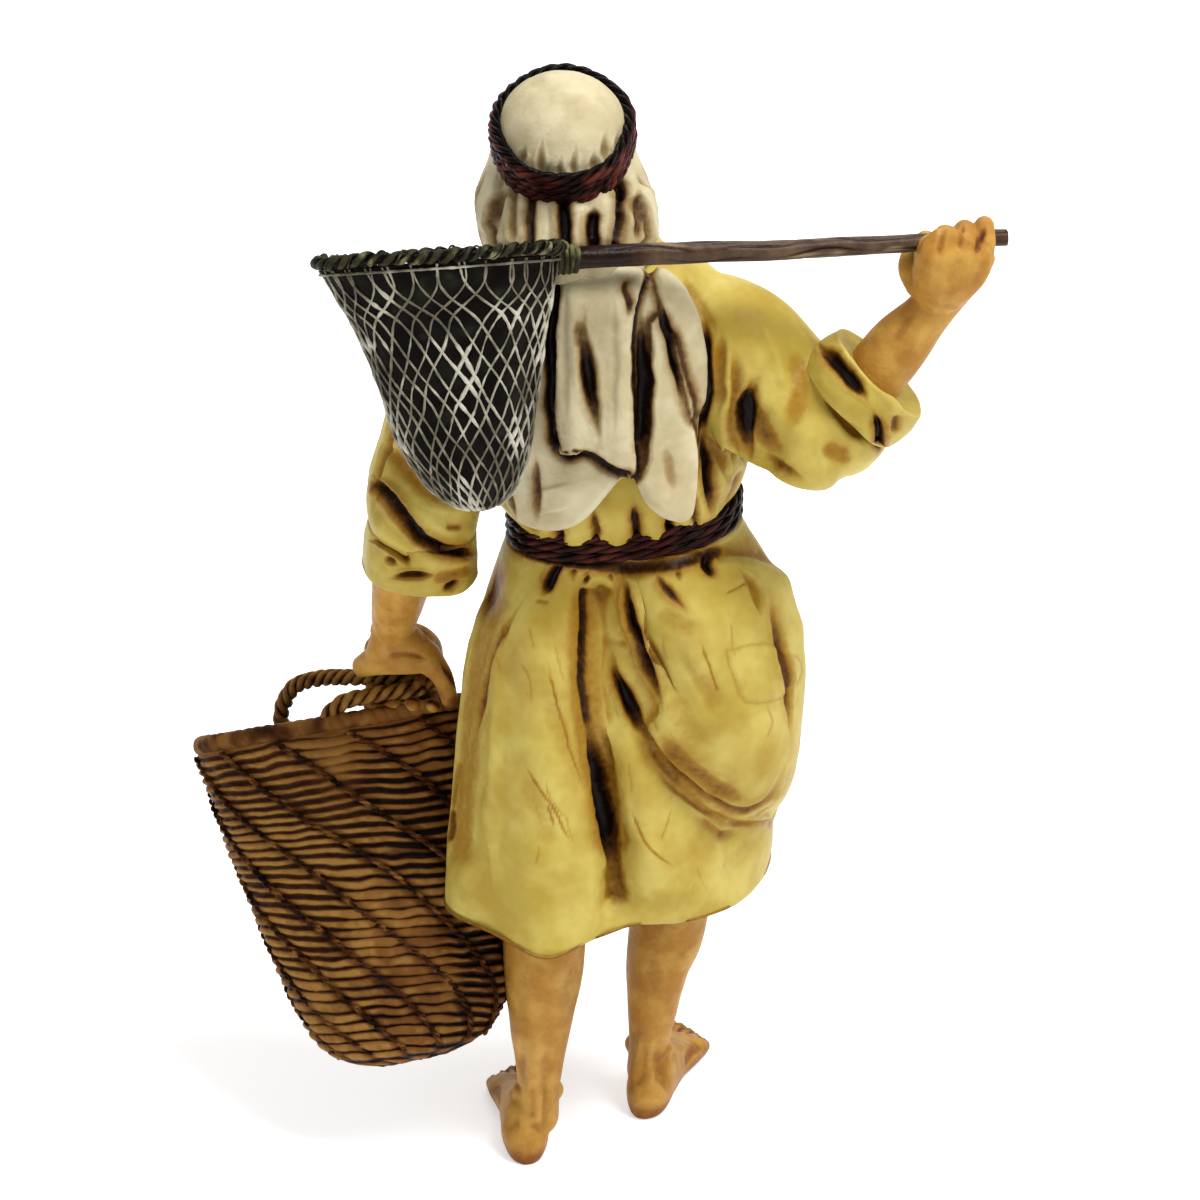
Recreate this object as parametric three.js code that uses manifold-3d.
// A hand-painted nativity figurine: a barefoot fisherman walking, with a landing net on a pole over the
// shoulder and a woven basket in the left hand. Millimetres, +Z up. The figure walks towards +Y, so its back
// is on the -Y side and its left hand on the -X side. The origin is on the ground, under the middle of the
// box. Every piece is a moulding of its own, pegged and glued into its neighbours.
import * as THREE from "three";
import { mergeVertices } from "three/addons/utils/BufferGeometryUtils.js";
import Module from "manifold-3d";

const wasm = await Module();
wasm.setup();

// Heights of the stack, from the ground up
const hemHeight = 25.4;
const skirtLength = 32.8;
const sashHeight = 2.6;
const torsoHeight = 23.2;
const headHeight = 13.9;

// Fits
const seatGap = 0.3;
const spigotHalfWidth = 5.0;
const spigotHalfDepth = 3.6;
const spigotLength = 6.0;
const neckRadius = 2.9;
const neckPegLength = 4.0;
const limbPegRadius = 2.2;
const limbPegLength = 8.0;
const legPlugLength = 5.0;

// Walls and cords
const hemWall = 1.3;
const hemRecess = 2.2;
const sashThickness = 0.7;
const scarfThickness = 1.5;
const crownWall = 0.9;
const headCordHeight = 2.8;
const headCordThickness = 1.7;
const poleButtRadius = 0.95;
const poleTipRadius = 0.68;
const poleLength = 36.6;
const hoopHalfLength = 9.6;
const hoopHalfDepth = 4.7;
const hoopCordRadius = 0.62;
const ferruleRadius = 1.35;
const ferruleLength = 3.6;
const bagDepth = 20.6;
const bagWall = 1.0;
const basketHalfLength = 14.0;
const basketHalfWidth = 7.4;
const basketDepth = 30.3;
const basketWall = 1.3;
const rimRadius = 0.85;
const handleRadius = 0.8;
const handleRise = 1.7;
const handlePegRadius = 0.42;
const handlePegLength = 1.2;
const handleLift = 0.25;

// The finest facet that a moulding keeps
const finestFacet = 0.04;

// Where things stand, worked out from the sizes above
const waistHeight = hemHeight + skirtLength;
const chestHeight = waistHeight + sashHeight + 2 * seatGap;
const neckHeight = chestHeight + torsoHeight;
const crownTop = neckHeight + headHeight;

// The eye from which the fold lines of the back were drawn, on the upright plane y = 0
const eye = new THREE.Vector3(0, -300, 200);

const point = (x, y, z) => new THREE.Vector3(x, y, z);
const { clamp, degToRad, lerp, smoothstep } = THREE.MathUtils;

// The row of a profile at a place along it, eased smoothly between the rows. A row starts with its place.
function rowAt(rows, place) {
  let i = 0;
  while (i < rows.length - 2 && place > rows[i + 1][0]) i += 1;
  const before = rows[Math.max(i - 1, 0)];
  const from = rows[i];
  const to = rows[i + 1];
  const after = rows[Math.min(i + 2, rows.length - 1)];
  const span = to[0] - from[0];
  const u = clamp((place - from[0]) / span, 0, 1);
  return from.map((value, k) => {
    const slopeIn = ((to[k] - before[k]) / (to[0] - before[0])) * span;
    const slopeOut = ((after[k] - value) / (after[0] - from[0])) * span;
    const u2 = u * u;
    const u3 = u2 * u;
    const atFrom = (2 * u3 - 3 * u2 + 1) * value + (u3 - 2 * u2 + u) * slopeIn;
    const atTo = (3 * u2 - 2 * u3) * to[k] + (u3 - u2) * slopeOut;
    return atFrom + atTo;
  });
}

// A closed surface through rings of equally many points. Each ring runs anticlockwise seen from the last one.
function throughRings(rings) {
  const count = rings[0].length;
  const corners = [];
  const faces = [];
  for (const ring of rings) for (const p of ring) corners.push(p.x, p.y, p.z);
  for (let i = 0; i < rings.length - 1; i += 1) {
    for (let k = 0; k < count; k += 1) {
      const next = (k + 1) % count;
      const [a, b] = [i * count + k, i * count + next];
      faces.push(a, b, b + count, a, b + count, a + count);
    }
  }
  const last = (rings.length - 1) * count;
  [rings[0], rings[rings.length - 1]].forEach((ring, end) => {
    const middle = ring.reduce((sum, p) => sum.add(p), point(0, 0, 0)).divideScalar(count);
    const hub = corners.length / 3;
    corners.push(middle.x, middle.y, middle.z);
    for (let k = 0; k < count; k += 1) {
      const next = (k + 1) % count;
      if (end) faces.push(hub, last + k, last + next);
      else faces.push(hub, next, k);
    }
  });
  const geometry = new THREE.BufferGeometry();
  geometry.setAttribute("position", new THREE.Float32BufferAttribute(corners, 3));
  geometry.setIndex(faces);
  return geometry;
}

// A closed surface round a loop of rings, such as a hoop
function roundLoop(rings) {
  const count = rings[0].length;
  const corners = rings.flatMap((ring) => ring.flatMap((p) => [p.x, p.y, p.z]));
  const faces = [];
  rings.forEach((_, i) => {
    const far = ((i + 1) % rings.length) * count;
    for (let k = 0; k < count; k += 1) {
      const next = (k + 1) % count;
      faces.push(i * count + k, i * count + next, far + next, i * count + k, far + next, far + k);
    }
  });
  const geometry = new THREE.BufferGeometry();
  geometry.setAttribute("position", new THREE.Float32BufferAttribute(corners, 3));
  geometry.setIndex(faces);
  return geometry;
}

// The solid that a closed geometry bounds
function solidOf(geometry) {
  const bare = geometry.clone();
  bare.deleteAttribute("normal");
  bare.deleteAttribute("uv");
  const merged = mergeVertices(bare, 1e-4);
  return new wasm.Manifold(
    new wasm.Mesh({
      numProp: 3,
      vertProperties: new Float32Array(merged.attributes.position.array),
      triVerts: new Uint32Array(merged.index.array),
    }),
  );
}

const joined = (...solids) => solids.reduce((sum, next) => sum.add(next));
const cutBy = (solid, ...cutters) => cutters.reduce((left, next) => left.subtract(next), solid);

// The largest of a solid's separate bodies
const mainBody = (solid) =>
  solid.decompose().reduce((most, next) => (next.volume() > most.volume() ? next : most));

// How far a point lies from a line from a to b in a plane
function distanceTo([ax, az], [bx, bz], x, z) {
  const [dx, dz] = [bx - ax, bz - az];
  const share = clamp(((x - ax) * dx + (z - az) * dz) / (dx ** 2 + dz ** 2), 0, 1);
  return Math.hypot(x - ax - share * dx, z - az - share * dz);
}

// How much the fold lines raise the cloth at a point. A line is drawn on the plane y = 0, as seen from the
// eye, in x and in height over the garment's foot.
function foldRise(p, folds, foot) {
  const reach = (0 - eye.y) / (p.y - eye.y);
  const x = eye.x + (p.x - eye.x) * reach;
  const z = eye.z + (p.z - eye.z) * reach - foot;
  let rise = 0;
  for (const fold of folds) {
    const nearest = Math.min(
      ...fold.line.slice(1).map((end, i) => distanceTo(fold.line[i], end, x, z)),
    );
    rise += fold.rise * Math.exp(-((nearest / fold.reach) ** 2));
  }
  return rise;
}

// A garment stacked from level rings. A row holds its place from 0 to 1, the ring's middle x and y, its half
// width and half depth, its turn in degrees about z and its slope in z per x. grow offsets the whole surface,
// and backBias draws the points of a ring together at the back, where the folds are.
function garment(rows, foot, height, { sides = 36, levels = 14, grow = 0, folds = [], backBias = 0 } = {}) {
  const rings = [];
  for (let i = 0; i <= levels; i += 1) {
    const [, cx, cy, halfWidth, halfDepth, turn, slope] = rowAt(rows, i / levels);
    const lift = i === 0 ? -grow : i === levels ? grow : 0;
    const z = foot + (height * i) / levels + lift;
    const ring = [];
    for (let k = 0; k < sides; k += 1) {
      const even = (2 * Math.PI * k) / sides;
      const angle = even - backBias * Math.cos(even);
      const outward = point(halfDepth * Math.cos(angle), halfWidth * Math.sin(angle), 0).normalize();
      const local = point(halfWidth * Math.cos(angle), halfDepth * Math.sin(angle), 0);
      local.addScaledVector(outward, grow);
      local.applyAxisAngle(point(0, 0, 1), degToRad(turn));
      outward.applyAxisAngle(point(0, 0, 1), degToRad(turn));
      const p = point(cx + local.x, cy + local.y, z + slope * local.x);
      const facing = smoothstep(-outward.y, -0.25, 0.35);
      p.addScaledVector(outward, facing * foldRise(p, folds, foot));
      ring.push(p);
    }
    rings.push(ring);
  }
  return solidOf(throughRings(rings));
}

// A limb along a curve, with a rounded or a blunt start and end. A knot holds x, y, z, the half width across
// and the half width front to back.
function limb(
  knots,
  { sides = 16, levels = 10, grow = 0, across = point(1, 0, 0), blunt = [false, false] } = {},
) {
  const curve = new THREE.CatmullRomCurve3(knots.map(([x, y, z]) => point(x, y, z)));
  const widths = knots.map(([, , , wide, deep], i) => [i / (knots.length - 1), wide, deep ?? wide]);
  const rings = [];
  const ringAt = (t, shrink, shift) => {
    const tangent = curve.getTangent(t);
    const depthways = point(0, 0, 0).crossVectors(tangent, across).normalize();
    const sideways = point(0, 0, 0).crossVectors(depthways, tangent).normalize();
    const [, wide, deep] = rowAt(widths, t);
    const middle = curve.getPoint(t).addScaledVector(tangent, shift);
    rings.push(
      Array.from({ length: sides }, (_, k) => {
        const angle = (2 * Math.PI * k) / sides;
        return middle
          .clone()
          .addScaledVector(sideways, (wide * shrink + grow) * Math.cos(angle))
          .addScaledVector(depthways, (deep * shrink + grow) * Math.sin(angle));
      }),
    );
  };
  const endRadius = (t) => Math.min(rowAt(widths, t)[1], rowAt(widths, t)[2]);
  if (blunt[0]) ringAt(0, 1, -grow);
  else {
    ringAt(0, 0.45, -0.85 * endRadius(0) - grow);
    ringAt(0, 0.85, -0.5 * endRadius(0) - grow);
    ringAt(0, 1, 0);
  }
  for (let i = 1; i < levels; i += 1) ringAt(i / levels, 1, 0);
  if (blunt[1]) ringAt(1, 1, grow);
  else {
    ringAt(1, 1, 0);
    ringAt(1, 0.85, 0.5 * endRadius(1) + grow);
    ringAt(1, 0.45, 0.85 * endRadius(1) + grow);
  }
  return solidOf(throughRings(rings));
}

// A straight round bar between two points, with its own radius at each end. grow offsets its whole surface.
function bar(from, to, fromRadius, toRadius, { sides = 16, grow = 0 } = {}) {
  const aim = to.clone().sub(from).normalize();
  const length = from.distanceTo(to) + 2 * grow;
  const geometry = new THREE.CylinderGeometry(toRadius + grow, fromRadius + grow, length, sides);
  geometry.applyQuaternion(new THREE.Quaternion().setFromUnitVectors(point(0, 1, 0), aim));
  const middle = from.clone().add(to).divideScalar(2);
  geometry.translate(middle.x, middle.y, middle.z);
  return solidOf(geometry);
}

// An upright ellipsoid
function egg(middle, halfX, halfY, halfZ, sides = 20) {
  const geometry = new THREE.SphereGeometry(1, sides, Math.round(sides / 2));
  geometry.rotateX(Math.PI / 2);
  geometry.scale(halfX, halfY, halfZ);
  geometry.translate(middle.x, middle.y, middle.z);
  return solidOf(geometry);
}

// Tunic skirt: rows from the hem up to the waist
const skirtRows = [
  [0, 1.0, -0.4, 14.8, 9.8, 24, 0],
  [0.3, 2.1, 0.5, 14.8, 10.0, 17, 0.01],
  [0.6, 2.9, 1.2, 14.4, 9.8, 9, 0.03],
  [0.8, 2.6, 1.6, 12.7, 9.3, 3, 0.06],
  [0.93, 2.2, 1.7, 10.9, 8.4, 0, 0.09],
  [1, 2.0, 1.6, 9.9, 7.8, 0, 0.1],
];
const skirtFolds = [
  { line: [[-4.4, 21.6], [-5.2, 8.6], [-5.0, -8]], reach: 3.6, rise: 1.9 },
  { line: [[-9.6, 24.6], [-11.6, 8.6], [-12.4, -3]], reach: 2.2, rise: 0.7 },
  { line: [[-0.2, 26.6], [-0.2, 18.6], [0.8, 10.6], [1.6, 2.6], [1.9, -3]], reach: 1.6, rise: -1.9 },
  { line: [[2.0, 21.6], [3.4, 14.6], [7.0, 7.6], [11.0, 4.1], [15, 5.6]], reach: 1.6, rise: -1.2 },
  { line: [[3.0, 29.6], [4.2, 23.6], [6.4, 18.6]], reach: 1.4, rise: -1.2 },
  { line: [[8.0, 24.6], [11.0, 16.6], [13.0, 11.6]], reach: 3.4, rise: 1.5 },
  { line: [[4.6, 1.6], [9.4, -3.4], [12.5, -4.4]], reach: 2.8, rise: 0.8 },
];
const skirtAt = (grow) =>
  garment(skirtRows, hemHeight, skirtLength, {
    sides: 38,
    levels: 17,
    grow,
    folds: skirtFolds,
    backBias: 0.4,
  });

// Upper tunic: rows from the waist up to the neck
const torsoRows = [
  [0, 1.8, 1.6, 9.9, 7.9, 0, 0.1],
  [0.09, 1.5, 1.7, 10.9, 8.9, 0, 0.1],
  [0.3, 0.9, 1.4, 10.6, 8.1, 0, 0.08],
  [0.55, 0.2, 1.2, 10.9, 7.7, 0, 0.06],
  [0.74, -0.4, 1.0, 11.2, 7.0, 0, 0.05],
  [0.86, -0.9, 0.4, 9.9, 6.4, 0, 0.05],
  [0.95, -1.5, -0.1, 7.2, 6.1, 0, 0.03],
  [1, -1.8, -0.3, 5.4, 5.2, 0, 0.02],
];
const torsoFolds = [
  { line: [[8.8, 14.7], [9.4, 6.7], [9.2, -1.3]], reach: 0.9, rise: -0.9 },
  { line: [[-2.5, 0.2], [1.0, -0.8], [6.0, 0.2]], reach: 1.3, rise: 0.7 },
];
const torsoAt = (grow, more = {}) =>
  garment(torsoRows, chestHeight, torsoHeight, {
    sides: 32,
    levels: 12,
    grow,
    folds: torsoFolds,
    backBias: 0.3,
    ...more,
  });

// Ring of the sash, and the oval spigot of the upper tunic that passes through it into the skirt
const waistRow = rowAt(skirtRows, 1);
const oval = (halfWidth, halfDepth) => {
  const row = [0, waistRow[1], waistRow[2], halfWidth, halfDepth, 0, waistRow[6]];
  return [row, [1, ...row.slice(1)]];
};
const sashHalfWidth = waistRow[3] - 0.5 + sashThickness;
const sashHalfDepth = waistRow[4] - 0.5 + sashThickness;
const sashAt = (grow) =>
  garment(oval(sashHalfWidth, sashHalfDepth), waistHeight + seatGap, sashHeight, {
    sides: 40,
    levels: 2,
    grow,
  });
const spigotAt = (grow) =>
  garment(oval(spigotHalfWidth, spigotHalfDepth), chestHeight - spigotLength, spigotLength + 2, {
    sides: 24,
    levels: 2,
    grow,
  });

// Head, on a round neck peg, with its brow, nose and beard on the +Y side
const headMiddle = point(-2.9, 1.0, neckHeight + 0.52 * headHeight);
const neckFoot = point(-1.9, 1.0, neckHeight - neckPegLength);
const headRows = [
  [0, -2.3, 1.9, 3.0, 3.6, 0, 0],
  [0.15, -2.6, 2.0, 3.8, 4.6, 0, 0],
  [0.35, -2.9, 1.6, 4.4, 5.1, 0, 0],
  [0.6, -2.9, 1.1, 4.7, 5.6, 0, 0],
  [0.8, -2.9, 0.9, 4.2, 5.0, 0, 0],
  [0.93, -2.9, 0.9, 2.8, 3.3, 0, 0],
  [1, -2.9, 0.9, 1.0, 1.2, 0, 0],
];
const chinHeight = neckHeight + 0.9;
const skullAt = (grow) =>
  garment(headRows, chinHeight, crownTop - crownWall - seatGap - chinHeight, { sides: 20, levels: 8, grow });
const neckAt = (grow) => bar(neckFoot, point(-2.4, 1.1, chinHeight + 3), neckRadius, neckRadius, { grow });
const faceFront = headMiddle.y + 5.2;
const nose = limb(
  [
    [headMiddle.x, faceFront - 0.7, headMiddle.z + 0.2, 0.45, 0.5],
    [headMiddle.x, faceFront + 0.35, headMiddle.z - 1.4, 0.6, 0.6],
    [headMiddle.x, faceFront + 0.45, headMiddle.z - 2.0, 0.8, 0.6],
  ],
  { sides: 8, levels: 3 },
);
const beard = egg(point(headMiddle.x + 0.1, faceFront - 2.4, chinHeight + 0.6), 3.0, 2.6, 2.9, 16);
const brow = limb(
  [
    [headMiddle.x - 2.6, faceFront - 1.5, headMiddle.z + 0.5, 0.5],
    [headMiddle.x, faceFront - 0.3, headMiddle.z + 0.8, 0.55],
    [headMiddle.x + 2.6, faceFront - 1.5, headMiddle.z + 0.5, 0.5],
  ],
  { sides: 8, levels: 6, across: point(0, 0, 1) },
);

// Headscarf crown: rows from the shoulders up, hollow for the head and open at the face
const crownFoot = neckHeight - 0.6;
const crownRows = [
  [0, -2.5, -1.1, 6.9, 7.6, 0, 0],
  [0.16, -2.7, -1.0, 7.1, 7.6, 0, 0],
  [0.33, -2.9, -0.1, 7.0, 6.8, 0, 0],
  [0.5, -2.95, 0.5, 6.1, 6.1, 0, 0],
  [0.66, -3.0, 0.6, 5.3, 5.9, 0, 0],
  [0.83, -3.0, 0.7, 4.6, 5.2, 0, 0],
  [0.94, -3.0, 0.7, 3.1, 3.6, 0, 0],
  [1, -3.0, 0.7, 1.2, 1.4, 0, 0],
];
const crownFolds = [
  { line: [[-4.4, 6.1], [-4.4, -4]], reach: 0.8, rise: -0.9 },
  { line: [[-1.2, 4.1], [-1.0, -4]], reach: 0.8, rise: -0.9 },
  { line: [[-7.4, 6.1], [-8.0, -4]], reach: 0.8, rise: -0.7 },
  { line: [[1.6, 6.1], [2.2, -4]], reach: 0.8, rise: -0.8 },
];
const crownAt = (grow) =>
  garment(crownRows, crownFoot, crownTop - crownFoot, {
    sides: 26,
    levels: 11,
    grow,
    folds: crownFolds,
    backBias: 0.3,
  });
const faceOpening = limb(
  [
    [headMiddle.x, headMiddle.y + 1.5, headMiddle.z - 2.2, 3.7, 6.3],
    [headMiddle.x, headMiddle.y + 20, headMiddle.z - 2.2, 3.7, 6.3],
  ],
  { sides: 24, levels: 2, blunt: [true, true] },
);

// Cord round the head: a band swept round the crown on a ring that sits lower at the back
const headCordTilt = degToRad(21);
const headCordMiddle = point(-3.0, 0.15, crownTop - 4.9);
const headCordAt = () => {
  const steps = 24;
  const oval = new THREE.EllipseCurve(0, 0, headCordThickness / 2, headCordHeight / 2);
  const section = oval.getPoints(7).slice(0, 7);
  const tilt = new THREE.Quaternion().setFromAxisAngle(point(1, 0, 0), headCordTilt);
  const rings = Array.from({ length: steps }, (_, i) => {
    const angle = (2 * Math.PI * i) / steps;
    const outward = point(Math.cos(angle), Math.sin(angle), 0);
    const core = point(5.35 * Math.cos(angle), 6.7 * Math.sin(angle), 0);
    return section.map(({ x, y }) =>
      core.clone().addScaledVector(outward, x).add(point(0, 0, y)).applyQuaternion(tilt).add(headCordMiddle),
    );
  });
  return solidOf(roundLoop(rings.map((ring) => ring.reverse())));
};

// Pole: its butt end by the net, its tip past the right fist
const poleButt = point(-3.4, -9.9, neckHeight + 2.15);
const poleAim = point(36.4, 6.9, -0.75).normalize();
const poleTip = poleButt.clone().addScaledVector(poleAim, poleLength);
const poleAt = (grow) => bar(poleButt, poleTip, poleButtRadius, poleTipRadius, { sides: 12, grow });
const onPole = (share) => poleButt.clone().lerp(poleTip, share);

// Drape of the headscarf down the back: the tunic's surface raised by the cloth, within the cloth's outline
const drapeTop = crownFoot - seatGap;
const drapeOutline = [
  [-8.4, 0],
  [-8.6, -7],
  [-8.6, -15],
  [-8.2, -19.4],
  [-6.6, -21.6],
  [-4.4, -22.0],
  [-1.6, -20.6],
  [0.4, -17.8],
  [3.2, -15.8],
  [3.9, -18.0],
  [7.2, -20.6],
  [7.8, -17.0],
  [8.6, -7.0],
  [7.4, -2.0],
  [5.6, 0],
];
const drapeFolds = [
  { line: [[-6.0, 17.7], [-6.3, -1.3]], reach: 0.9, rise: -0.8 },
  { line: [[-3.6, 18.7], [-3.9, 3.7]], reach: 0.7, rise: -0.8 },
  { line: [[-0.2, 14.7], [-0.2, 2.7]], reach: 0.8, rise: -0.9 },
  { line: [[2.6, 18.7], [3.6, 0.7]], reach: 0.8, rise: -1.0 },
  { line: [[6.0, 16.7], [7.6, 4.7]], reach: 0.7, rise: -0.8 },
];
function drapeAt(grow) {
  const shape = new THREE.Shape(drapeOutline.map(([x, z]) => new THREE.Vector2(x, drapeTop + z)));
  const slab = new THREE.ExtrudeGeometry(shape, {
    depth: 24,
    bevelEnabled: grow > 0,
    bevelSize: grow,
    bevelThickness: grow,
    bevelSegments: 1,
  });
  slab.rotateX(Math.PI / 2);
  slab.translate(0, 1.5, 0);
  const thickness = seatGap + scarfThickness + grow;
  const cloth = torsoAt(thickness, {
    sides: 44,
    levels: 13,
    folds: [...torsoFolds, ...drapeFolds],
    backBias: 0.5,
  });
  return mainBody(cloth.intersect(solidOf(slab)).subtract(torsoAt(seatGap - grow)));
}

// Right arm, raised to the pole
const rightShoulder = point(12.4, 0, chestHeight + 14.4);
const rightSleeveKnots = [
  [6.4, 0.2, chestHeight + 14.6, 5.6, 5.6],
  [10.6, -0.6, chestHeight + 13.4, 6.2, 6.0],
  [14.2, -1.7, chestHeight + 10.5, 5.9, 5.8],
  [17.5, -3.1, chestHeight + 8.6, 5.3, 5.3],
];
const rightElbow = point(18.5, -3.6, chestHeight + 8.6);
const rightCuffFoot = point(20.5, -4.0, chestHeight + 10.9);
const rightCuffTop = point(22.6, -4.0, chestHeight + 13.1);
const rightSleeveAt = (grow) =>
  joined(
    limb(rightSleeveKnots, { sides: 18, levels: 6, grow, across: point(0, 0, 1) }),
    bar(rightElbow, rightCuffFoot.clone().lerp(rightCuffTop, -0.12), 5.0, 4.3, { sides: 20, grow }),
  );
const fistMiddle = onPole(0.885);
const rightForearmKnots = [
  [20.4, -3.9, chestHeight + 10.0, 1.9, 1.9],
  [22.1, -4.0, chestHeight + 12.8, 2.35, 2.35],
  [24.4, -4.0, chestHeight + 16.0, 2.45, 2.3],
  [fistMiddle.x - 1.6, fistMiddle.y - 0.2, fistMiddle.z - 5.6, 2.1, 1.8],
  [fistMiddle.x - 0.5, fistMiddle.y - 0.7, fistMiddle.z - 2.6, 3.1, 1.5],
  [fistMiddle.x, fistMiddle.y - 0.9, fistMiddle.z - 0.6, 3.2, 1.2],
];
const rightForearmAt = (grow) => limb(rightForearmKnots, { sides: 12, levels: 8, grow });

// A fist: four fingers side by side, each curled round a bar that runs along aim
function fingers(middle, aim, [reachY, reachZ], pitch, fromDegrees, toDegrees) {
  const solids = [];
  for (let finger = 0; finger < 4; finger += 1) {
    const centre = middle.clone().addScaledVector(aim, (finger - 1.5) * pitch);
    const knots = Array.from({ length: 5 }, (_, i) => {
      const angle = degToRad(lerp(fromDegrees, toDegrees, i / 4));
      const [y, z] = [reachY * Math.cos(angle), reachZ * Math.sin(angle)];
      return [centre.x, centre.y + y, centre.z + z, fingerRadius];
    });
    solids.push(limb(knots, { sides: 6, levels: 4, across: aim }));
  }
  return joined(...solids);
}
const fingerRadius = 0.9;
const rightGrip = poleTipRadius + fingerRadius;

// Left arm, hanging to the basket's handles
const leftShoulder = point(-12.8, 0, chestHeight + 14.6);
const leftSleeveKnots = [
  [-9.4, 0.5, chestHeight + 16.2, 4.6, 4.8],
  [-11.4, 0.3, chestHeight + 12.6, 4.8, 5.0],
  [-13.2, -0.2, chestHeight + 6.4, 4.7, 5.0],
  [-14.6, -0.4, chestHeight + 1.0, 4.9, 5.0],
  [-14.8, -0.4, chestHeight - 1.8, 4.5, 4.7],
];
const leftSleeveAt = (grow) => limb(leftSleeveKnots, { sides: 18, levels: 6, grow, blunt: [false, true] });
const leftCuffTop = point(-14.9, -0.4, chestHeight - 2.6);
const leftCuffFoot = point(-15.3, -0.2, chestHeight - 6.2);
const gripMiddle = point(-17.1, 5.0, chestHeight - 19.9);
const leftForearmKnots = [
  [-15.2, -0.5, chestHeight - 0.6, 2.3, 2.3],
  [-16.3, -0.3, chestHeight - 5.4, 2.5, 2.4],
  [-17.1, 1.4, chestHeight - 9.6, 2.25, 2.0],
  [gripMiddle.x - 0.7, gripMiddle.y - 0.9, gripMiddle.z + 5.4, 1.8, 1.5],
  [gripMiddle.x - 0.1, gripMiddle.y + 1.2, gripMiddle.z + 3.4, 3.2, 1.3],
  [gripMiddle.x, gripMiddle.y + 2.4, gripMiddle.z + 1.2, 3.4, 1.1],
];
const leftForearmAt = (grow) => limb(leftForearmKnots, { sides: 12, levels: 8, grow });

// Basket: hung by two handles from the left fist, its mouth leaning forwards and its foot swung back
const basketLean = degToRad(-27.5);
const basketRoll = degToRad(-9.5);
const basketTurn = new THREE.Euler(basketLean, basketRoll, 0);
const basketMouth = gripMiddle.clone().add(point(-4.9, 2.7, -5.1));
const inBasket = (x, y, z) => point(x, y, z).applyEuler(basketTurn).add(basketMouth);
const basketShares = [
  [0, 0.22, 0.2, 0.7],
  [0.03, 0.42, 0.42, 0.7],
  [0.09, 0.56, 0.56, 0.7],
  [0.17, 0.65, 0.66, 0.7],
  [0.3, 0.73, 0.75, 0.6],
  [0.5, 0.82, 0.84, 0.5],
  [0.75, 0.91, 0.93, 0.2],
  [1, 1, 1, 0],
];
function basketAt(grow, wall = 0) {
  const rows = basketShares.map(([place, wide, deep, aside]) => [
    place,
    aside,
    0,
    basketHalfLength * wide - wall,
    basketHalfWidth * deep - wall,
    0,
    0,
  ]);
  const foot = -basketDepth + wall;
  const height = basketDepth - (wall ? 0 : rimRadius + seatGap);
  const place = new THREE.Matrix4().makeRotationFromEuler(basketTurn).setPosition(basketMouth);
  return garment(rows, foot, height, { sides: 28, levels: 9, grow }).transform(place.elements);
}

// A round cord swept round an oval loop
function cordLoop(halfLength, halfDepth, radius, place, steps, sides) {
  const rings = Array.from({ length: steps }, (_, i) => {
    const angle = (2 * Math.PI * i) / steps;
    const outward = point(halfDepth * Math.cos(angle), halfLength * Math.sin(angle), 0).normalize();
    return Array.from({ length: sides }, (_unused, k) => {
      const turn = (-2 * Math.PI * k) / sides;
      const local = point(halfLength * Math.cos(angle), halfDepth * Math.sin(angle), radius * Math.sin(turn));
      return place(...local.addScaledVector(outward, radius * Math.cos(turn)).toArray());
    });
  });
  return solidOf(roundLoop(rings));
}
const rimAt = (grow) =>
  cordLoop(basketHalfLength - rimRadius, basketHalfWidth - rimRadius, rimRadius + grow, inBasket, 28, 7);

// A handle: out of the rim at one foot, through the fist, and back into the rim. side is -1 for the near one.
const handleFeet = new Map([
  [-1, [-2.2, 8.6]],
  [1, [-6.4, 5.4]],
]);
const rimPlace = (side, along) => {
  const reach = basketHalfLength - rimRadius;
  return [along, side * (basketHalfWidth - rimRadius) * Math.sqrt(1 - (along / reach) ** 2)];
};
const handlePegs = (side, grow) =>
  handleFeet.get(side).map((along) => {
    const [x, y] = rimPlace(side, along);
    const [foot, top] = [inBasket(x, y, rimRadius - handlePegLength), inBasket(x, y, rimRadius + 1)];
    return bar(foot, top, handlePegRadius, handlePegRadius, { sides: 10, grow: 0.8 * grow });
  });
function handleAt(side, grow) {
  const onRim = (foot, out, up) => {
    const [x, y] = rimPlace(side, handleFeet.get(side)[foot]);
    return inBasket(x + out, y, rimRadius + seatGap + handleLift + up);
  };
  const onGrip = gripMiddle.clone().add(point(0, side * (handleRadius + 0.7 * seatGap), 0));
  // The near handle ends along the rim, which stands nearly as high as the fist there.
  const end = side < 0 ? [onRim(1, -1.6, 0.75), onRim(1, 0.1, 0.6)] : [onRim(1, -0.2, 2), onRim(1, 0, 0)];
  const knots = [
    onRim(0, 0, 0),
    onRim(0, -0.5, handleRise),
    onGrip.clone().add(point(-3.0, 0, 0.4)),
    onGrip.clone().add(point(0.8, 0.3 * side, 0.1)),
    ...end,
  ];
  const cord = limb(
    knots.map((p) => [p.x, p.y, p.z, handleRadius]),
    { sides: 8, levels: 12, grow, across: point(0, 1, 0.2), blunt: [true, side > 0] },
  );
  return joined(cord, ...handlePegs(side, grow));
}
const nearHandleAt = (grow) => handleAt(-1, grow);
const farHandleAt = (grow) => handleAt(1, grow);

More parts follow.
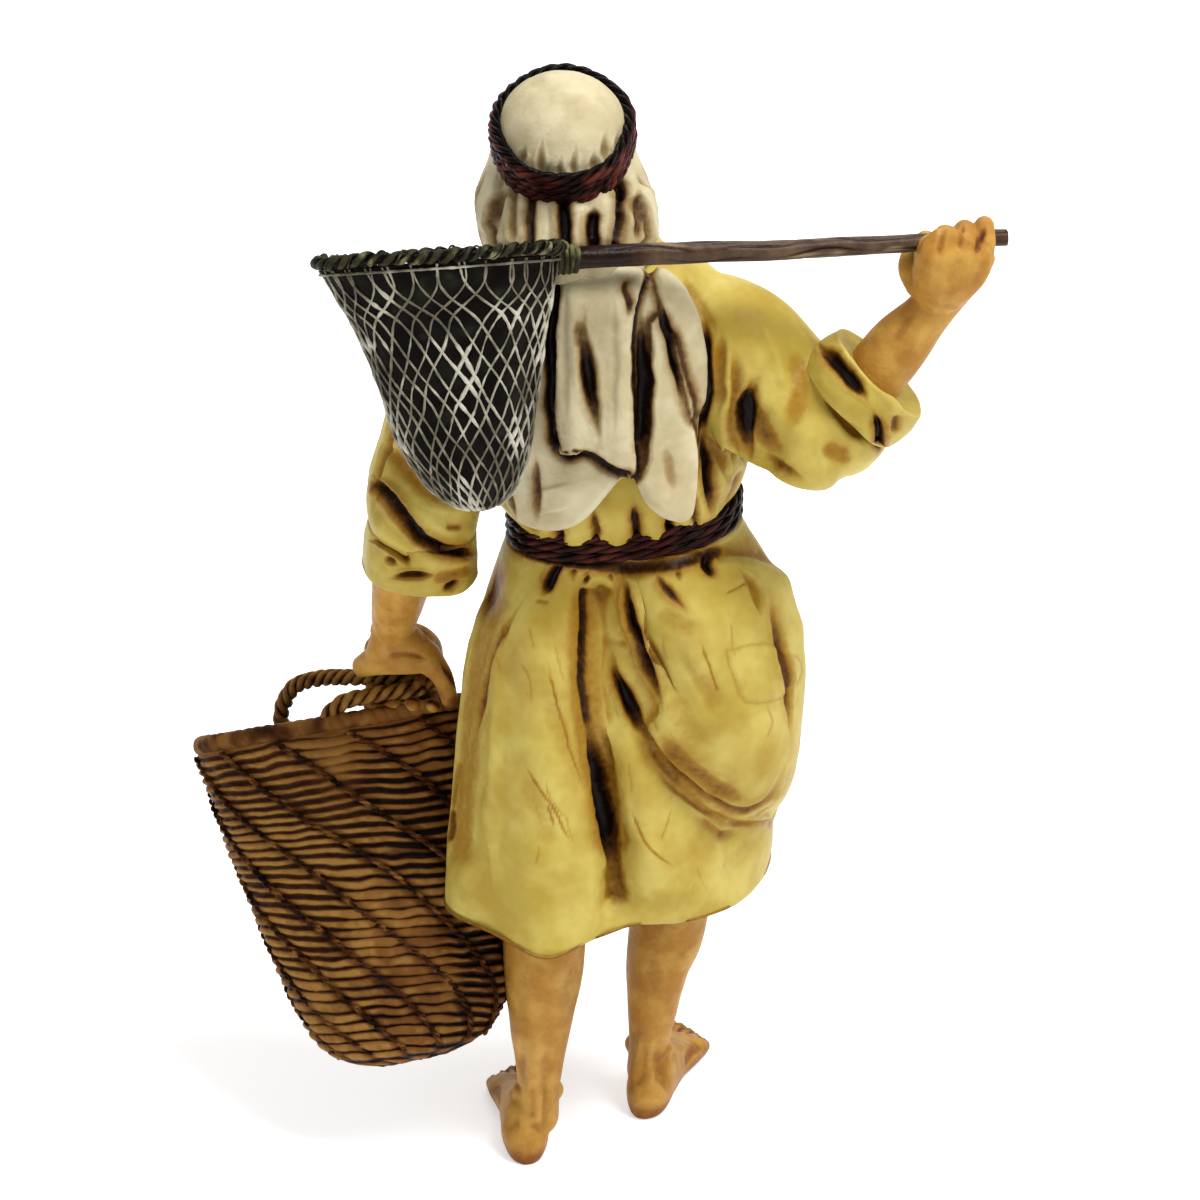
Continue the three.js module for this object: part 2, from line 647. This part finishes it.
// Landing net: an oval hoop on the pole's butt, far side low, with the bag hanging from it
const hoopLean = degToRad(-21);
const hoopSwing = Math.atan2(poleAim.y, poleAim.x);
const hoopMiddle = poleButt.clone().addScaledVector(poleAim, -hoopHalfLength + 0.4).add(point(0, 0, 0.9));
const hoopTurn = new THREE.Euler(0, 0, hoopSwing).setFromQuaternion(
  new THREE.Quaternion()
    .setFromAxisAngle(point(0, 0, 1), hoopSwing)
    .multiply(new THREE.Quaternion().setFromAxisAngle(point(1, 0, 0), hoopLean)),
);
const inHoop = (x, y, z) => point(x, y, z).applyEuler(hoopTurn).add(hoopMiddle);
const hoopAt = (grow) => cordLoop(hoopHalfLength, hoopHalfDepth, hoopCordRadius + grow, inHoop, 26, 7);
const ferruleFoot = poleButt.clone().addScaledVector(poleAim, -0.8);
const ferruleTop = ferruleFoot.clone().addScaledVector(poleAim, ferruleLength);
const ferruleAt = (grow) =>
  bar(ferruleFoot, ferruleTop, ferruleRadius, 0.85 * ferruleRadius, { sides: 12, grow });
const bagShares = [
  [0, 0.13, 0.26, 2.9, -0.9],
  [0.05, 0.3, 0.5, 2.5, -1.0],
  [0.14, 0.44, 0.7, 2.2, -1.1],
  [0.3, 0.57, 0.85, 1.7, -1.1],
  [0.5, 0.66, 0.93, 1.4, -0.9],
  [0.75, 0.8, 0.98, 0.8, -0.5],
  [1, 1, 1, 0, 0],
];
function bagAt(grow, wall = 0) {
  const rings = [];
  const levels = 9;
  const sides = 22;
  for (let i = 0; i <= levels; i += 1) {
    const share = i / levels;
    const [, wide, deep, shiftX, shiftY] = rowAt(bagShares, share);
    const drop = (1 - share) * (bagDepth - wall) + (hoopCordRadius + seatGap) / Math.cos(hoopLean);
    const top = inHoop(0, 0, 0);
    const level = Math.max(0, (share - 0.55) / 0.45);
    const lift = i === levels ? (wall ? 3 : grow) : i === 0 ? -grow : 0;
    rings.push(
      Array.from({ length: sides }, (_, k) => {
        const angle = (2 * Math.PI * k) / sides;
        const halfLength = hoopHalfLength * wide - wall + grow;
        const halfDepth = hoopHalfDepth * deep - wall + grow;
        const flat = point(halfLength * Math.cos(angle), halfDepth * Math.sin(angle), 0);
        const leaning = flat.clone().applyEuler(hoopTurn);
        flat.applyAxisAngle(point(0, 0, 1), hoopSwing);
        return flat.lerp(leaning, level).add(top).add(point(shiftX, shiftY, lift - drop));
      }),
    );
  }
  return solidOf(throughRings(rings));
}

// Legs: the left one trails, the right one leads and its foot points outwards
const leftLegKnots = [
  [-5.5, -4.3, 3.2, 1.85, 2.3],
  [-5.4, -4.2, 6.4, 1.95, 2.2],
  [-5.2, -3.7, 13, 2.85, 2.9],
  [-4.9, -3.1, 19, 3.6, 3.7],
  [-4.6, -2.4, hemHeight + hemRecess + legPlugLength, 3.6, 3.7],
];
const rightLegKnots = [
  [4.3, 3.0, 3.2, 1.85, 2.3],
  [4.5, 3.3, 6.4, 1.85, 2.2],
  [5.1, 3.9, 13, 2.8, 2.9],
  [6.1, 4.5, 18, 3.45, 3.6],
  [7.0, 5.2, hemHeight + hemRecess + legPlugLength, 3.6, 3.7],
];
const legAt = (knots, grow) => limb(knots, { sides: 14, levels: 8, grow, blunt: [true, true] });

// A bare foot: heel, arch and ball on the ground, and five toes. outer is 1 where the small toe is on +X.
const footLength = 15.4;
const footShares = [
  [0, 0.5, 2.1],
  [0.05, 1.5, 3.4],
  [0.15, 2.05, 4.6],
  [0.32, 2.0, 5.0],
  [0.5, 2.05, 3.7],
  [0.68, 2.6, 2.6],
  [0.8, 2.75, 1.9],
  [0.86, 2.5, 1.5],
];
function footAt(heel, splay, outer) {
  const ahead = point(Math.sin(splay), Math.cos(splay), 0);
  const aside = point(Math.cos(splay), -Math.sin(splay), 0);
  const sides = 12;
  const rings = footShares.map(([share, wide, tall]) => {
    const middle = heel.clone().addScaledVector(ahead, share * footLength);
    return Array.from({ length: sides }, (_, k) => {
      const angle = -(2 * Math.PI * k) / sides;
      const z = Math.max(0, tall * (0.42 + 0.58 * Math.sin(angle)));
      return middle.clone().addScaledVector(aside, wide * Math.cos(angle)).add(point(0, 0, z));
    });
  });
  const toes = [-2.0, -0.75, 0.25, 1.15, 2.0].map((offset, i) => {
    const radius = [0.95, 0.72, 0.68, 0.64, 0.6][i];
    const reach = [1, 0.985, 0.955, 0.92, 0.88][i] * footLength - radius;
    const at = (share) => heel.clone().addScaledVector(ahead, share).addScaledVector(aside, outer * offset);
    const [from, to] = [at(0.76 * footLength), at(reach)];
    return limb(
      [
        [from.x, from.y, radius + 0.1, radius],
        [to.x, to.y, radius, radius],
      ],
      { sides: 6, levels: 2 },
    );
  });
  const ground = new THREE.BoxGeometry(60, 60, 10);
  ground.translate(heel.x, heel.y, -5);
  return joined(solidOf(throughRings(rings)), ...toes).subtract(solidOf(ground));
}
const leftHeel = point(-6.4, -7.8, 0);
const rightHeel = point(3.7, -0.6, 0);
const leftSplay = degToRad(-9);
const rightSplay = degToRad(21);

// A rolled cuff: a short fat ring between two points
const cuffAt = (from, to, fromRadius, toRadius) => bar(from, to, fromRadius, toRadius, { sides: 20 });

// Building up: a piece that seats in another is made first, and the other one is cut to clear it
const pole = poleAt(0);
const poleSeat = poleAt(seatGap);

const shoulderPeg = (sign, grow) => {
  const outer = sign < 0 ? leftShoulder : rightShoulder;
  const inner = outer.clone().setX(outer.x - sign * limbPegLength);
  return bar(inner, outer, limbPegRadius, limbPegRadius, { grow });
};
const drape = cutBy(drapeAt(0), poleSeat);
const drapeSeat = drapeAt(seatGap);
const clearOfTorso = (sleeve, sign) =>
  joined(mainBody(cutBy(sleeve, torsoAt(seatGap), drapeSeat, poleSeat)), shoulderPeg(sign, 0));
const rightForearmShape = rightForearmAt(0);
const rightSleeve = cutBy(clearOfTorso(rightSleeveAt(0), 1), rightForearmAt(seatGap));
const rightCuff = cutBy(
  cuffAt(rightCuffFoot, rightCuffTop, 5.05, 4.75),
  rightSleeveAt(seatGap),
  rightForearmAt(seatGap),
);
const rightThumb = limb(
  [
    [fistMiddle.x - 3.0, fistMiddle.y - 0.9, fistMiddle.z - 3.6, 0.95],
    [fistMiddle.x - 3.6, fistMiddle.y + 0.4, fistMiddle.z - 2.6, 0.85],
    [fistMiddle.x - 3.3, fistMiddle.y + 1.6, fistMiddle.z - 1.4, 0.75],
  ],
  { sides: 8, levels: 4, across: point(0, 0, 1) },
);
const knuckles = fistMiddle.clone().add(point(0, 0, -0.7));
const rightFingers = fingers(knuckles, poleAim, [rightGrip, rightGrip], 1.72, 200, -35);
const rightForearm = mainBody(cutBy(joined(rightForearmShape, rightFingers, rightThumb), poleSeat));

const nearHandle = nearHandleAt(0);
const farHandle = farHandleAt(0);
const leftFingers = fingers(gripMiddle, point(1, 0, 0), [2.6, 1.7], 1.75, 40, -125);
const leftThumb = limb(
  [
    [gripMiddle.x + 1.6, gripMiddle.y + 0.2, gripMiddle.z + 3.9, 0.95],
    [gripMiddle.x + 3.1, gripMiddle.y - 1.2, gripMiddle.z + 2.3, 0.9],
    [gripMiddle.x + 3.9, gripMiddle.y - 2.4, gripMiddle.z + 0.4, 0.75],
  ],
  { sides: 8, levels: 4 },
);
const leftForearm = mainBody(
  cutBy(
    joined(leftForearmAt(0), leftFingers, leftThumb),
    nearHandleAt(seatGap),
    farHandleAt(seatGap),
    rimAt(seatGap),
    basketAt(seatGap),
  ),
);
const leftSleeve = cutBy(clearOfTorso(leftSleeveAt(0), -1), leftForearmAt(seatGap));
const leftCuff = cutBy(
  cuffAt(leftCuffTop, leftCuffFoot, 4.7, 4.95),
  leftSleeveAt(seatGap),
  leftForearmAt(seatGap),
);

const torso = cutBy(
  joined(torsoAt(0), spigotAt(0)),
  neckAt(seatGap),
  shoulderPeg(1, seatGap),
  shoulderPeg(-1, seatGap),
);
const sash = cutBy(sashAt(0), spigotAt(seatGap));
const head = joined(cutBy(joined(skullAt(0), nose, brow, beard), torsoAt(seatGap)), neckAt(0));
const crown = mainBody(
  cutBy(
    crownAt(0),
    skullAt(seatGap),
    neckAt(seatGap),
    torsoAt(seatGap),
    egg(point(-2.9, 1.2, neckHeight + 1.2), 4.6, 5.0, 3.6),
    faceOpening,
    poleSeat,
    ferruleAt(seatGap),
    hoopAt(seatGap),
    bagAt(seatGap),
  ),
);
const headCord = cutBy(headCordAt(), crownAt(seatGap));

const rim = cutBy(rimAt(0), ...[-1, 1].flatMap((side) => handlePegs(side, seatGap)));
const basketSeat = joined(basketAt(seatGap), rimAt(seatGap));
const basket = cutBy(basketAt(0), basketAt(0, basketWall), legAt(leftLegKnots, seatGap));

const leftLeg = joined(legAt(leftLegKnots, 0), footAt(leftHeel, leftSplay, -1));
const rightLeg = joined(legAt(rightLegKnots, 0), footAt(rightHeel, rightSplay, 1));
const hollowFloor = new THREE.BoxGeometry(80, 80, hemHeight + hemRecess);
hollowFloor.translate(0, 0, (hemHeight + hemRecess) / 2);
const hemHollow = skirtAt(-hemWall).translate([0, 0, -2 * hemWall]).intersect(solidOf(hollowFloor));
const skirt = mainBody(
  cutBy(
    skirtAt(0),
    hemHollow,
    spigotAt(seatGap),
    legAt(leftLegKnots, seatGap),
    legAt(rightLegKnots, seatGap),
    basketSeat,
  ),
);

const hoop = joined(cutBy(ferruleAt(0), poleSeat), cutBy(hoopAt(0), poleSeat));
const hoopSeat = joined(hoopAt(seatGap), ferruleAt(seatGap));
const bag = cutBy(bagAt(0), bagAt(0, bagWall), hoopSeat, poleSeat);

// Colours and finishes of the painted plastic
const paint = (colour, roughness) =>
  new THREE.MeshStandardMaterial({ color: colour, roughness, metalness: 0 });
const ochre = ["#c4a03c", 0.42];
const ivory = ["#d3c9ae", 0.45];
const burgundy = ["#4c2723", 0.4];
const skin = ["#bd8546", 0.38];
const wicker = ["#7d5730", 0.5];
const darkWood = ["#3a2a20", 0.42];
const netting = ["#33352f", 0.4];

const group = new THREE.Group();
for (const [name, solid, [colour, roughness]] of [
  ["tunic_upper", torso, ochre],
  ["tunic_skirt", skirt, ochre],
  ["waist_sash", sash, burgundy],
  ["left_leg", leftLeg, skin],
  ["right_leg", rightLeg, skin],
  ["head", head, skin],
  ["headscarf_crown", crown, ivory],
  ["headscarf_drape", drape, ivory],
  ["head_cord", headCord, burgundy],
  ["right_sleeve", rightSleeve, ochre],
  ["right_cuff", rightCuff, ochre],
  ["right_forearm", rightForearm, skin],
  ["left_sleeve", leftSleeve, ochre],
  ["left_cuff", leftCuff, ochre],
  ["left_forearm", leftForearm, skin],
  ["net_pole", pole, darkWood],
  ["net_hoop", hoop, darkWood],
  ["net_bag", bag, netting],
  ["basket_body", basket, wicker],
  ["basket_rim", rim, wicker],
  ["basket_handle_near", nearHandle, wicker],
  ["basket_handle_far", farHandle, wicker],
]) {
  const { vertProperties, triVerts } = solid.asOriginal().simplify(finestFacet).getMesh();
  const geometry = new THREE.BufferGeometry();
  geometry.setAttribute("position", new THREE.Float32BufferAttribute(vertProperties, 3));
  geometry.setIndex(new THREE.BufferAttribute(new Uint32Array(triVerts), 1));
  geometry.computeVertexNormals();
  const mesh = new THREE.Mesh(geometry, paint(colour, roughness));
  mesh.name = name;
  group.add(mesh);
}

// Move the figure so that the origin lies on the ground under the middle of its box
const boxMiddle = new THREE.Box3().setFromObject(group).getCenter(point(0, 0, 0));
for (const mesh of group.children) mesh.geometry.translate(-boxMiddle.x, -boxMiddle.y, 0);

export default group;
